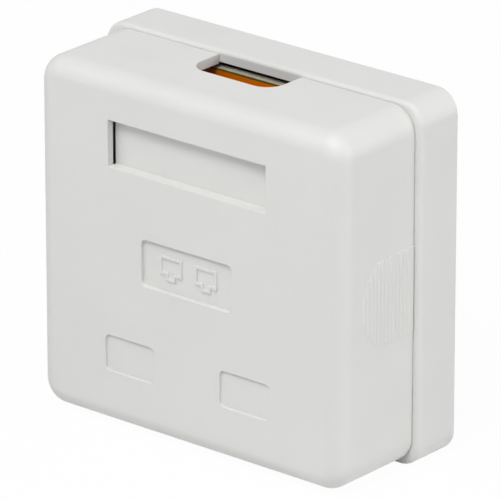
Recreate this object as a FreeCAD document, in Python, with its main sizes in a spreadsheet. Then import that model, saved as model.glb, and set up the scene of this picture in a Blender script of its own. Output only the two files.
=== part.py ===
"""Surface-mounted wall box with two modular network sockets.

The box hangs on a wall. X runs to the right and Z up, seen from the front, and the front faces -Y.
The origin is the centre of the flat back of the base, which lies on the wall. A reach is a distance
from the wall towards the front.
"""
import FreeCAD, Part

import math
import os

import Sketcher

Vector = FreeCAD.Vector

# Driving dimensions, in millimetres
SIZES = {
    # Base tray
    "base_width": 65.0,
    "base_height": 61.2,
    "base_depth": 9.0,
    "base_corner": 4.0,
    "base_edge": 0.75,
    "base_wall": 2.0,
    "base_floor": 2.0,
    # Front cover
    "cover_width": 62.5,
    "cover_height": 59.8,
    "cover_depth": 18.22,
    "cover_corner": 4.4,
    "cover_edge": 3.3,
    "cover_wall": 1.6,
    "front_wall": 1.3,
    "inner_edge": 1.2,
    "least_corner": 0.5,
    "seam_gap": 0.08,
    # Label window, its ledge and rails, and the plate behind it
    "window_width": 32.3,
    "window_height": 7.85,
    "window_from_top": 11.7,
    "label_ledge": 0.75,
    "label_thickness": 1.0,
    "label_overlap": 1.2,
    "label_side": 0.15,
    "label_play": 0.1,
    "rail_thickness": 0.8,
    "rail_lip": 0.9,
    # Recessed panel with two plain socket signs, and the two port marker fields
    "panel_width": 18.6,
    "panel_height": 7.9,
    "panel_lower": 0.3,
    "panel_depth": 0.7,
    "field_width": 10.15,
    "field_height": 6.1,
    "field_from_bottom": 12.4,
    "field_depth": 0.45,
    "recess_corner": 0.9,
    "recess_edge": 0.18,
    "sign_width": 4.6,
    "sign_height": 3.2,
    "sign_tab_width": 2.0,
    "sign_tab_height": 0.9,
    "sign_stroke": 0.5,
    "sign_relief": 0.28,
    "sign_spacing": 7.2,
    # Ribbed finger grips on both sides of the cover
    "grip_height": 14.5,
    "grip_reach": 12.9,
    "grip_nose": 4.6,
    "rib_pitch": 0.925,
    "rib_width": 0.4,
    "rib_height": 0.15,
    # Cable entry in the top wall of the cover
    "entry_width": 16.9,
    "entry_depth": 7.7,
    "entry_corner": 3.3,
    # Tabs of the base that locate and hold the cover
    "tab_thickness": 1.2,
    "tab_height": 4.4,
    "tab_clearance": 0.15,
    "snap_tab_length": 14.0,
    "snap_engagement": 0.3,
    "snap_clearance": 0.15,
    "snap_from_tip": 1.2,
    "top_tab_length": 7.0,
    "top_tab_inset": 8.5,
    "bottom_tab_length": 5.0,
    # Wall screw holes in the base
    "wall_hole": 4.2,
    "wall_hole_inset": 4.6,
    "wall_hole_spread_z": 36.0,
    # Circuit board and the posts that carry it
    "board_side": 1.8,
    "board_edge_gap": 0.75,
    "board_thickness": 1.6,
    "board_proud": 0.3,
    "board_tongue": 1.4,
    "post_diameter": 5.6,
    "screw_from_edge": 4.5,
    "hole_clearance": 0.15,
    # Screws that hold the board
    "screw_core": 2.0,
    "screw_length": 5.0,
    "screw_tip": 0.7,
    "screw_head": 4.6,
    "screw_head_height": 1.7,
    "screw_head_round": 0.7,
    "screw_cross": 0.7,
    "screw_cross_span": 2.8,
    "screw_cross_depth": 0.9,
    "pilot_play": 0.8,
    # Modular jacks
    "port_spacing": 23.8,
    "jack_wall": 1.85,
    "jack_roof": 0.9,
    "jack_back": 3.5,
    "mouth_inset": 0.2,
    "port_clearance": 0.25,
    "plug_width": 11.9,
    "plug_height": 6.9,
    "plug_floor": 3.6,
    "plug_depth": 14.5,
    "latch_width": 6.4,
    "latch_height": 1.2,
    "lever_width": 3.4,
    "lever_height": 0.6,
    "mouth_wall": 1.6,
    "latch_room": 8.0,
    "peg_diameter": 2.6,
    "peg_length": 2.8,
    "peg_inset": 0.15,
    "peg_row": 8.9,
    # Contact carriers in the jacks
    "bay_step": 0.15,
    "bay_start": 2.4,
    "insert_drop": 0.6,
    "insert_play": 0.1,
    "channel_play": 0.08,
    "channel_floor": 1.5,
    # Sprung jack contacts
    "contact_pitch": 1.02,
    "wire_diameter": 0.46,
    "wire_play": 0.04,
    "wire_corner": 0.6,
    "wire_bend": 0.8,
    "bend_clearance": 0.27,
    "tip_from_end": 3.9,
    "tip_rise": 2.0,
    "tail_from_back": 5.2,
    "tail_stagger": 2.54,
    "tail_out": 1.2,
    # Punch-down blocks and their forked blades
    "idc_pitch": 4.0,
    "idc_end": 1.0,
    "idc_depth": 8.0,
    "idc_height": 12.0,
    "slot_width": 1.0,
    "slot_depth": 6.5,
    "slot_lead": 2.2,
    "slot_lead_depth": 1.1,
    "blade_width": 2.6,
    "blade_thickness": 0.5,
    "blade_recess": 1.6,
    "blade_shoulder": 0.3,
    "blade_play": 0.06,
    "slit_width": 0.36,
    "slit_depth": 6.0,
    "slit_lead": 1.3,
    "slit_lead_depth": 0.9,
    "blade_tail": 0.7,
}

CONTACTS = 8
SIDES = {"left": -1, "right": 1}


class Size:
    """A cell of the sheet, or a value worked out from cells, kept with its formula."""

    def __init__(self, value, formula):
        self.value = value
        self.formula = formula

    @staticmethod
    def of(other):
        return other if isinstance(other, Size) else Size(other, f"({other})")

    def combine(self, other, sign, value):
        return Size(value, f"({self.formula} {sign} {other.formula})")

    def __add__(self, other):
        other = Size.of(other)
        return self.combine(other, "+", self.value + other.value)

    def __sub__(self, other):
        other = Size.of(other)
        return self.combine(other, "-", self.value - other.value)

    def __mul__(self, other):
        other = Size.of(other)
        return self.combine(other, "*", self.value * other.value)

    def __truediv__(self, other):
        other = Size.of(other)
        return self.combine(other, "/", self.value / other.value)

    def __radd__(self, other):
        return Size.of(other) + self

    def __rsub__(self, other):
        return Size.of(other) - self

    def __rmul__(self, other):
        return Size.of(other) * self

    def __neg__(self):
        return self * -1


def larger(one, other):
    """The larger of two sizes."""
    return Size(max(one.value, other.value), f"max({one.formula}; {other.formula})")


def diagonal(width, height):
    """The diagonal of a rectangle."""
    return Size(math.hypot(width.value, height.value), f"sqrt({width.formula}^2 + {height.formula}^2)")


def smaller(one, other):
    """The smaller of two sizes."""
    return Size(min(one.value, other.value), f"min({one.formula}; {other.formula})")


class Sheet:
    """The sizes by name, each tied to its cell."""

    def __init__(self, document, sizes):
        cells = document.addObject("Spreadsheet::Sheet", "Sizes")
        for row, (name, value) in enumerate(sizes.items(), 1):
            cells.set(f"A{row}", name)
            cells.set(f"B{row}", str(value))
            cells.setAlias(f"B{row}", name)
            setattr(self, name, Size(value, f"Sizes.{name}"))


doc = FreeCAD.newDocument("network_socket_box")
size = Sheet(doc, SIZES)
doc.recompute()
parts = []

# Places that several pieces share
cover_back = size.base_depth + size.seam_gap
front_edge = smaller(size.cover_edge, size.cover_corner - size.least_corner)
board_front = size.base_depth + size.board_proud
board_seat = board_front - size.board_thickness
window_centre = size.cover_height / 2 - size.window_from_top
field_centre = size.field_from_bottom - size.cover_height / 2
tab_x = size.cover_width / 2 - size.cover_wall - size.tab_clearance
tab_z = size.cover_height / 2 - size.cover_wall - size.tab_clearance
tab_tip = size.base_depth + size.tab_height
snap_height = size.tab_clearance + size.snap_engagement
label_front = size.cover_depth - size.front_wall - size.label_ledge

# The jacks: their outside follows from the plug space, and lengths count from the mouth
port_offset = size.port_spacing / 2
mouth_z = size.mouth_inset - size.cover_height / 2
plug_ceiling = size.plug_floor + size.plug_height
latch_top = plug_ceiling + size.latch_height
lever_top = latch_top + size.lever_height
jack_width = size.plug_width + 2 * size.jack_wall
jack_height = lever_top + size.jack_roof
jack_length = size.plug_depth + size.jack_back
peg_x = (jack_width - size.peg_diameter) / 2 - size.peg_inset
bay_width = size.plug_width - 2 * size.bay_step
insert_height = size.plug_floor - size.insert_drop
channel_width = size.wire_diameter + 2 * size.channel_play
wire_run = size.channel_floor + size.wire_play + size.wire_diameter / 2
bend_row = size.bay_start + size.bend_clearance + size.wire_bend + size.wire_diameter / 2
tip_row = size.plug_depth - size.tip_from_end
tip_height = size.plug_floor + size.tip_rise

# The board lies between the tabs and inside the tray, whichever is closer, and a tongue at its top fills
# the room between the upper tabs; two punch-down blocks are spread evenly between the jacks and its top
tray_x = size.base_width / 2 - size.base_wall
tray_z = size.base_height / 2 - size.base_wall
board_half = smaller(tab_z - size.tab_thickness, tray_z) - size.board_edge_gap
board_width = size.port_spacing + jack_width + 2 * size.board_side
tongue_top = smaller(board_half + size.board_tongue, tray_z - size.board_edge_gap / 2)
between_tabs = tab_x - size.top_tab_inset - size.top_tab_length / 2
tongue_half = smaller(between_tabs, board_width / 2) - size.board_edge_gap
tail_tip = size.board_thickness + size.tail_out
strip = (board_half - mouth_z - jack_length - 2 * size.idc_depth) / 3
lower_row = mouth_z + jack_length + strip + size.idc_depth / 2
idc_rows = {"upper": lower_row + size.idc_depth + strip, "lower": lower_row}
idc_length = CONTACTS * size.idc_pitch + 2 * size.idc_end
blade_top = size.idc_height - size.blade_recess

# The wall screws pass beside the board
wall_hole_x = tray_x - size.wall_hole_inset

# The board's screws stand in the strips above the upper block and below the lower one
screw_x = board_width / 2 - size.screw_from_edge
screw_places = [
    (side * screw_x, row)
    for row in (board_half - strip / 2, mouth_z + jack_length + strip / 2)
    for side in SIDES.values()
]
# A plain post between the jacks takes the push of a plug
plug_post = mouth_z + size.peg_row


def tie(thing, prop, value):
    """Bind a property to a size of the sheet."""
    thing.setExpression(prop, Size.of(value).formula)


def new_body(label, x=0, reach=0, z=0):
    """A body of its own, with its origin at the given place."""
    body = doc.addObject("PartDesign::Body", label)
    body.Label = label
    tie(body, "Placement.Base.x", x)
    tie(body, "Placement.Base.y", -Size.of(reach))
    tie(body, "Placement.Base.z", z)
    return body


def new_sketch(body, plane, offset=0):
    """A sketch on a plane of the body: FRONT shows X and Z, TOP shows X and Y, SIDE shows Y and Z."""
    roles = {"FRONT": "XZ_Plane", "TOP": "XY_Plane", "SIDE": "YZ_Plane"}
    origin = [item for item in body.Origin.OriginFeatures if item.Role == roles[plane]][0]
    sketch = body.newObject("Sketcher::SketchObject", "sketch")
    sketch.AttachmentSupport = [(origin, "")]
    sketch.MapMode = "FlatFace"
    tie(sketch, "AttachmentOffset.Base.z", offset)
    return sketch


def constrain(sketch, rules):
    """Add constraints; each rule is a constraint's arguments, with a size last if it has one."""
    plain = [[item.value if isinstance(item, Size) else item for item in rule] for rule in rules]
    first = sketch.ConstraintCount
    sketch.addConstraint([Sketcher.Constraint(*rule) for rule in plain])
    for index, rule in enumerate(rules):
        if isinstance(rule[-1], Size):
            tie(sketch, f"Constraints[{first + index}]", rule[-1])


def place(geometry, position, point):
    """Rules that tie a point of a sketch's geometry to its two coordinates."""
    return [
        ["DistanceX", -1, 1, geometry, position, Size.of(point[0])],
        ["DistanceY", -1, 1, geometry, position, Size.of(point[1])],
    ]


def add_polygon(sketch, points):
    """A closed outline of straight lines through points."""
    first = sketch.GeometryCount
    points = [(Size.of(x), Size.of(y)) for x, y in points]
    corners = [Vector(x.value, y.value, 0) for x, y in points]
    count = len(points)
    sketch.addGeometry([Part.LineSegment(corners[i], corners[(i + 1) % count]) for i in range(count)])
    rules = []
    for i, point in enumerate(points):
        rules.append(["Coincident", first + i, 2, first + (i + 1) % count, 1])
        rules += place(first + i, 1, point)
    constrain(sketch, rules)


def add_rectangle(sketch, centre, width, height):
    """A rectangle about its centre."""
    (x, y), half_x, half_y = centre, Size.of(width) / 2, Size.of(height) / 2
    low_x, high_x, low_y, high_y = x - half_x, x + half_x, y - half_y, y + half_y
    add_polygon(sketch, [(low_x, low_y), (high_x, low_y), (high_x, high_y), (low_x, high_y)])


def add_circle(sketch, centre, diameter):
    """A circle about its centre."""
    geometry = sketch.GeometryCount
    x, y = Size.of(centre[0]), Size.of(centre[1])
    sketch.addGeometry(Part.Circle(Vector(x.value, y.value, 0), Vector(0, 0, 1), diameter.value / 2))
    constrain(sketch, place(geometry, 3, (x, y)) + [["Diameter", geometry, diameter]])


def add_rounded(sketch, centre, width, height, radius):
    """A rectangle about its centre, with round corners."""
    first = sketch.GeometryCount
    x, y = Size.of(centre[0]), Size.of(centre[1])
    low_x, high_x = x - width / 2, x + width / 2
    low_y, high_y = y - height / 2, y + height / 2
    in_x, out_x = low_x + radius, high_x - radius
    in_y, out_y = low_y + radius, high_y - radius
    lines = [
        ((in_x, low_y), (out_x, low_y)),
        ((high_x, in_y), (high_x, out_y)),
        ((out_x, high_y), (in_x, high_y)),
        ((low_x, out_y), (low_x, in_y)),
    ]
    arcs = [((out_x, in_y), -90), ((out_x, out_y), 0), ((in_x, out_y), 90), ((in_x, in_y), 180)]
    for start, end in lines:
        ends = [Vector(point[0].value, point[1].value, 0) for point in (start, end)]
        sketch.addGeometry(Part.LineSegment(*ends))
    for corner, angle in arcs:
        circle = Part.Circle(Vector(corner[0].value, corner[1].value, 0), Vector(0, 0, 1), radius.value)
        sketch.addGeometry(Part.ArcOfCircle(circle, math.radians(angle), math.radians(angle + 90)))
    rules = []
    for i in range(4):
        line, arc, following = first + i, first + 4 + i, first + (i + 1) % 4
        rules.append(["Tangent", line, 2, arc, 1])
        rules.append(["Tangent", arc, 2, following, 1])
        rules.append(["Horizontal" if i % 2 == 0 else "Vertical", line])
        if i:
            rules.append(["Equal", first + 4, arc])
    rules.append(["Radius", first + 4, radius])
    rules += [
        ["DistanceY", -1, 1, first, 1, low_y],
        ["DistanceX", -1, 1, first + 1, 1, high_x],
        ["DistanceY", -1, 1, first + 2, 1, high_y],
        ["DistanceX", -1, 1, first + 3, 1, low_x],
    ]
    constrain(sketch, rules)


def extrude(kind, sketch, length, reverse=False, both_ways=False):
    """A pad or a pocket of a sketch; a pocket cuts against the sketch's normal unless reversed."""
    body = sketch.getParentGeoFeatureGroup()
    feature = body.newObject(f"PartDesign::{kind}", kind.lower())
    feature.Profile = sketch
    tie(feature, "Length", length)
    feature.Reversed = reverse
    if both_ways:
        feature.SideType = "Symmetric"
    return feature


def pad(sketch, length, reverse=False, both_ways=False):
    return extrude("Pad", sketch, length, reverse, both_ways)


def pocket(sketch, length, reverse=False, both_ways=False):
    return extrude("Pocket", sketch, length, reverse, both_ways)


def round_edges(body, radius, test):
    """Fillet those edges of the body that pass the test."""
    doc.recompute()
    base = body.Tip
    names = [f"Edge{i}" for i, edge in enumerate(base.Shape.Edges, 1) if test(edge.BoundBox)]
    feature = body.newObject("PartDesign::Fillet", "fillet")
    feature.Base = (base, names)
    tie(feature, "Radius", radius)
    return feature


def lies_at(reach):
    """A test for edges that lie in the plane at one reach of their body."""
    return lambda box: box.YLength < 1e-4 and abs(box.YMin + Size.of(reach).value) < 1e-4


def finish(node):
    """Keep a finished piece, whose label names its file."""
    parts.append(node)
    return node


def make_base():
    body = new_body("base")
    outer = new_sketch(body, "FRONT")
    add_rounded(outer, (0, 0), size.base_width, size.base_height, size.base_corner)
    pad(outer, size.base_depth)
    round_edges(body, size.base_edge, lies_at(size.base_depth))

    inner = new_sketch(body, "FRONT", size.base_depth)
    wall = 2 * size.base_wall
    add_rounded(inner, (0, 0), size.base_width - wall, size.base_height - wall,
                larger(size.base_corner - size.base_wall, size.least_corner))
    pocket(inner, size.base_depth - size.base_floor)

    posts = new_sketch(body, "FRONT", size.base_floor)
    for centre in screw_places + [(0, plug_post)]:
        add_circle(posts, centre, size.post_diameter)
    pad(posts, board_seat - size.base_floor)
    pilots = new_sketch(body, "FRONT", board_seat)
    for centre in screw_places:
        add_circle(pilots, centre, size.screw_core + 2 * size.hole_clearance)
    pocket(pilots, size.screw_length + size.pilot_play - size.board_thickness)

    add_tabs(body)
    holes = new_sketch(body, "FRONT", size.base_floor)
    for across in SIDES.values():
        for up in (-1, 1):
            add_circle(holes, (across * wall_hole_x, up * size.wall_hole_spread_z / 2), size.wall_hole)
    pocket(holes, size.base_floor)
    return finish(body)


def add_tabs(body):
    """Tabs that stand on the base's floor, locate the cover from inside and snap into its sides."""
    foot_x, foot_z = tab_x - size.tab_thickness, tab_z - size.tab_thickness
    middle = Size.of(0)
    feet = new_sketch(body, "FRONT", size.base_floor)
    tabs = new_sketch(body, "FRONT", size.base_floor)
    for side in SIDES.values():
        add_rectangle(feet, (side * (foot_x + tray_x) / 2, middle), tray_x - foot_x, size.snap_tab_length)
        add_rectangle(tabs, (side * (foot_x + tab_x) / 2, middle), size.tab_thickness, size.snap_tab_length)
        along = side * (tab_x - size.top_tab_inset)
        add_rectangle(feet, (along, (foot_z + tray_z) / 2), size.top_tab_length, tray_z - foot_z)
        add_rectangle(tabs, (along, (foot_z + tab_z) / 2), size.top_tab_length, size.tab_thickness)
    add_rectangle(feet, (middle, -(foot_z + tray_z) / 2), size.bottom_tab_length, tray_z - foot_z)
    add_rectangle(tabs, (middle, -(foot_z + tab_z) / 2), size.bottom_tab_length, size.tab_thickness)
    pad(feet, size.base_depth - size.base_floor - size.base_edge)
    pad(tabs, tab_tip - size.base_floor)

    beads = new_sketch(body, "TOP")
    ridge = tab_tip - size.snap_from_tip
    for side in SIDES.values():
        add_polygon(beads, [
            (side * (tab_x - size.tab_thickness / 2), -(ridge - snap_height)),
            (side * tab_x, -(ridge - snap_height)),
            (side * (tab_x + snap_height), -ridge),
            (side * tab_x, -(ridge + snap_height)),
            (side * (tab_x - size.tab_thickness / 2), -(ridge + snap_height)),
        ])
    pad(beads, size.snap_tab_length - 2 * snap_height, both_ways=True)


def make_cover():
    body = new_body("front_cover", reach=cover_back)
    outer = new_sketch(body, "FRONT")
    add_rounded(outer, (0, 0), size.cover_width, size.cover_height, size.cover_corner)
    pad(outer, size.cover_depth)
    round_edges(body, front_edge, lies_at(size.cover_depth))

    inner = new_sketch(body, "FRONT")
    wall = 2 * size.cover_wall
    add_rounded(inner, (0, 0), size.cover_width - wall, size.cover_height - wall,
                larger(size.cover_corner - size.cover_wall, size.least_corner))
    inner_front = size.cover_depth - size.front_wall
    pocket(inner, inner_front, reverse=True)
    round_edges(body, size.inner_edge, lies_at(inner_front))

    add_label_rails(body, inner_front)
    cut_front_recesses(body)
    add_socket_signs(body)
    for side in SIDES.values():
        add_grip(body, side)
    cut_openings(body)
    return finish(body)


def add_label_rails(body, inner_front):
    """Two channels behind the label window; the plate slides into them from the side."""
    rails = new_sketch(body, "SIDE")
    back = label_front - size.label_thickness - size.label_play
    edge = size.window_height / 2
    groove = edge + size.label_overlap + size.label_play
    outside = groove + size.rail_thickness
    section = [
        (inner_front + size.front_wall / 2, edge),
        (inner_front + size.front_wall / 2, outside),
        (back - size.rail_thickness, outside),
        (back - size.rail_thickness, groove - size.rail_lip),
        (back, groove - size.rail_lip),
        (back, groove),
        (label_front, groove),
        (label_front, edge),
    ]
    for side in (-1, 1):
        add_polygon(rails, [(-reach, window_centre + side * z) for reach, z in section])
    pad(rails, size.window_width, both_ways=True)


def cut_front_recesses(body):
    """The label window, the panel and the marker fields in the front face, with softened rims."""
    window = new_sketch(body, "FRONT", size.cover_depth)
    add_rectangle(window, (Size.of(0), window_centre), size.window_width, size.window_height)
    pocket(window, size.front_wall)
    panel = new_sketch(body, "FRONT", size.cover_depth)
    add_rounded(panel, (0, -size.panel_lower), size.panel_width, size.panel_height, size.recess_corner)
    pocket(panel, size.panel_depth)
    fields = new_sketch(body, "FRONT", size.cover_depth)
    for side in SIDES.values():
        add_rounded(fields, (side * port_offset, field_centre), size.field_width, size.field_height,
                    size.recess_corner)
    pocket(fields, size.field_depth)

    at_front = lies_at(size.cover_depth)
    flat_x = size.cover_width.value / 2 - front_edge.value
    flat_z = size.cover_height.value / 2 - front_edge.value
    tiny = 1e-3

    def is_rim(box):
        inside = max(box.XMax, -box.XMin) < flat_x - tiny and max(box.ZMax, -box.ZMin) < flat_z - tiny
        return at_front(box) and inside

    round_edges(body, size.recess_edge, is_rim)


def add_socket_signs(body):
    """Two plain raised outlines of a socket on the panel's floor."""
    signs = new_sketch(body, "FRONT", size.cover_depth - size.panel_depth)
    line = size.sign_stroke
    half, tab = size.sign_width / 2, size.sign_tab_width / 2
    top = (size.sign_height + size.sign_tab_height) / 2 - size.panel_lower
    shoulder = top - size.sign_height
    foot = shoulder - size.sign_tab_height
    for side in SIDES.values():
        x = side * size.sign_spacing / 2
        for inset in (0, line):
            right = [(half - inset, top - inset), (half - inset, shoulder + inset),
                     (tab - inset, shoulder + inset), (tab - inset, foot + inset)]
            left = [(-across, up) for across, up in reversed(right)]
            add_polygon(signs, [(x + across, up) for across, up in right + left])
    pad(signs, size.sign_relief)


def add_grip(body, side):
    """A ribbed finger grip on one side, straight at the cover's back edge and bowed at its front end."""
    face = side * size.cover_width / 2
    half, nose = size.grip_height / 2, size.grip_nose
    turn = nose - size.grip_reach
    bow = (nose * nose + half * half) / (2 * nose)
    centre = bow.value - size.grip_reach.value
    swing = math.atan2(half.value, turn.value - centre)
    outline = new_sketch(body, "SIDE", face)
    low, high = Vector(turn.value, -half.value, 0), Vector(turn.value, half.value, 0)
    lower, upper = Vector(0, -half.value, 0), Vector(0, half.value, 0)
    circle = Part.Circle(Vector(centre, 0, 0), Vector(0, 0, 1), bow.value)
    outline.addGeometry([
        Part.LineSegment(low, lower),
        Part.LineSegment(lower, upper),
        Part.LineSegment(upper, high),
        Part.ArcOfCircle(circle, swing, 2 * math.pi - swing),
    ])
    constrain(outline, [
        ["Coincident", 0, 2, 1, 1],
        ["Coincident", 1, 2, 2, 1],
        ["Coincident", 2, 2, 3, 1],
        ["Coincident", 3, 2, 0, 1],
        ["Horizontal", 0],
        ["Horizontal", 2],
        ["PointOnObject", 1, 1, -2],
        ["PointOnObject", 1, 2, -2],
        ["Radius", 3, bow],
    ] + place(0, 1, (turn, -half)) + place(2, 2, (turn, half)))
    pad(outline, size.rib_height, reverse=side < 0)

    grooves = new_sketch(body, "SIDE", face + side * size.rib_height)
    gap = size.rib_pitch - size.rib_width
    for rib in range(math.ceil((size.grip_reach.value - size.rib_width.value) / size.rib_pitch.value)):
        middle = rib * size.rib_pitch + size.rib_width + gap / 2
        add_rectangle(grooves, (-middle, Size.of(0)), gap, size.grip_height + size.rib_width)
    pocket(grooves, size.rib_height, reverse=side < 0)


def cut_openings(body):
    """The cable entry, the cut-outs for the jacks and the grooves for the base's snap beads."""
    entry = new_sketch(body, "TOP", size.cover_height / 2)
    past = 2 * size.entry_corner
    add_rounded(entry, (0, (past - size.entry_depth) / 2), size.entry_width, size.entry_depth + past,
                size.entry_corner)
    pocket(entry, size.cover_wall)

    ports = new_sketch(body, "TOP", -size.cover_height / 2)
    depth = board_front + jack_height + size.port_clearance - cover_back
    width = jack_width + 2 * size.port_clearance
    for side in SIDES.values():
        add_rectangle(ports, (side * port_offset, -depth / 2), width, depth)
    pocket(ports, size.cover_wall, reverse=True)

    grooves = new_sketch(body, "TOP")
    ridge = tab_tip - size.snap_from_tip - cover_back
    room = snap_height + size.snap_clearance
    for side in SIDES.values():
        add_polygon(grooves, [
            (side * (tab_x + room), -ridge),
            (side * tab_x, -(ridge - room)),
            (side * tab_x, -(ridge + room)),
        ])
    pocket(grooves, size.snap_tab_length, both_ways=True)


def make_label_plate():
    body = new_body("label_plate", reach=cover_back + label_front, z=window_centre)
    outline = new_sketch(body, "FRONT")
    add_rectangle(outline, (Size.of(0), Size.of(0)), size.window_width + 2 * size.label_side,
                  size.window_height + 2 * size.label_overlap)
    pad(outline, size.label_thickness, reverse=True)
    return finish(body)


def contact_x(index, pitch):
    """Place of a contact in its row, counted from 0, about the middle of the row."""
    return (index - (CONTACTS - 1) / 2) * pitch


def tail_row(index):
    """Distance of a jack contact's solder tail from the mouth: two staggered rows."""
    return jack_length - size.tail_from_back + (index % 2) * size.tail_stagger


def make_board():
    body = new_body("circuit_board", reach=board_seat)
    outline = new_sketch(body, "FRONT")
    right = [(board_width / 2, -board_half), (board_width / 2, board_half), (tongue_half, board_half),
             (tongue_half, tongue_top)]
    left = [(-across, up) for across, up in reversed(right)]
    add_polygon(outline, right + left)
    pad(outline, size.board_thickness)

    holes = new_sketch(body, "FRONT", size.board_thickness)
    play = 2 * size.hole_clearance
    for centre in screw_places:
        add_circle(holes, centre, size.screw_core + play)
    for side in SIDES.values():
        for peg in SIDES.values():
            add_circle(holes, (side * port_offset + peg * peg_x, mouth_z + size.peg_row),
                       size.peg_diameter + play)
        for index in range(CONTACTS):
            place_x = side * port_offset + contact_x(index, size.contact_pitch)
            add_circle(holes, (place_x, mouth_z + tail_row(index)), size.wire_diameter + play)
    for row in idc_rows.values():
        for index in range(CONTACTS):
            add_circle(holes, (contact_x(index, size.idc_pitch), row),
                       diagonal(size.blade_tail, size.blade_thickness) + play)
    pocket(holes, size.board_thickness)
    return finish(body)


def make_screws():
    """Pan-head screws that hold the board on its posts."""
    screws = []
    for number, (x, z) in enumerate(screw_places, 1):
        body = new_body(f"screw_{number}", x, board_front, z)
        profile = new_sketch(body, "TOP")
        core, head, axis = size.screw_core / 2, size.screw_head / 2, Size.of(0)
        add_polygon(profile, [
            (axis, -size.screw_head_height),
            (head, -size.screw_head_height),
            (head, axis),
            (core, axis),
            (core, size.screw_length - size.screw_tip),
            (axis, size.screw_length),
        ])
        turned = body.newObject("PartDesign::Revolution", "revolution")
        turned.Profile = profile
        turned.ReferenceAxis = (profile, ["V_Axis"])
        turned.Angle = 360
        round_edges(body, size.screw_head_round, lies_at(size.screw_head_height))
        arm, span = size.screw_cross, size.screw_cross_span
        for width, height in ((arm, span), (span, arm)):
            cross = new_sketch(body, "FRONT", size.screw_head_height)
            add_rectangle(cross, (axis, axis), width, height)
            pocket(cross, size.screw_cross_depth)
        screws.append(body)
    group = doc.addObject("Part::Compound", "board_screws")
    group.Label = "board_screws"
    group.Links = screws
    return finish(group)


def make_jack_housing(side_name, side):
    """A jack body that opens downwards; its latch side faces the front."""
    body = new_body(f"jack_housing_{side_name}", side * port_offset, board_front, mouth_z)
    outline = new_sketch(body, "TOP")
    add_rectangle(outline, (Size.of(0), -jack_height / 2), jack_width, jack_height)
    pad(outline, jack_length)

    plug, latch, lever = size.plug_width / 2, size.latch_width / 2, size.lever_width / 2
    mouth = new_sketch(body, "TOP")
    right = [
        (plug, size.plug_floor),
        (plug, plug_ceiling),
        (latch, plug_ceiling),
        (latch, latch_top),
        (lever, latch_top),
        (lever, lever_top),
    ]
    left = [(-x, up) for x, up in reversed(right)]
    add_polygon(mouth, [(x, -up) for x, up in right + left])
    pocket(mouth, size.plug_depth, reverse=True)
    catch = new_sketch(body, "TOP", size.mouth_wall)
    add_rectangle(catch, (Size.of(0), -(plug_ceiling + lever_top) / 2), size.latch_width,
                  lever_top - plug_ceiling)
    pocket(catch, size.latch_room, reverse=True)

    bay = new_sketch(body, "TOP", size.bay_start)
    add_rectangle(bay, (Size.of(0), -size.plug_floor / 2), bay_width, size.plug_floor)
    pocket(bay, jack_length - size.bay_start, reverse=True)
    pegs = new_sketch(body, "FRONT")
    for peg in SIDES.values():
        add_circle(pegs, (peg * peg_x, size.peg_row), size.peg_diameter)
    pad(pegs, size.peg_length, reverse=True)
    return finish(body)


def make_jack_insert(side_name, side):
    """The carrier under the plug space, with a channel and a tail slot for each contact."""
    body = new_body(f"jack_insert_{side_name}", side * port_offset, board_front, mouth_z)
    start = size.bay_start + size.insert_play
    length = jack_length - start
    outline = new_sketch(body, "TOP", start)
    add_rectangle(outline, (Size.of(0), -insert_height / 2), bay_width - 2 * size.insert_play,
                  insert_height)
    pad(outline, length)
    channels = new_sketch(body, "FRONT", insert_height)
    tails = new_sketch(body, "FRONT", size.channel_floor)
    last = tail_row(1) + channel_width / 2
    bend_room = size.wire_corner + channel_width
    for index in range(CONTACTS):
        x = contact_x(index, size.contact_pitch)
        add_rectangle(channels, (x, last / 2), channel_width, last)
        add_rectangle(tails, (x, tail_row(index) - size.wire_corner / 2), channel_width, bend_room)
    pocket(channels, insert_height - size.channel_floor)
    pocket(tails, size.channel_floor)
    return finish(body)


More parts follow.
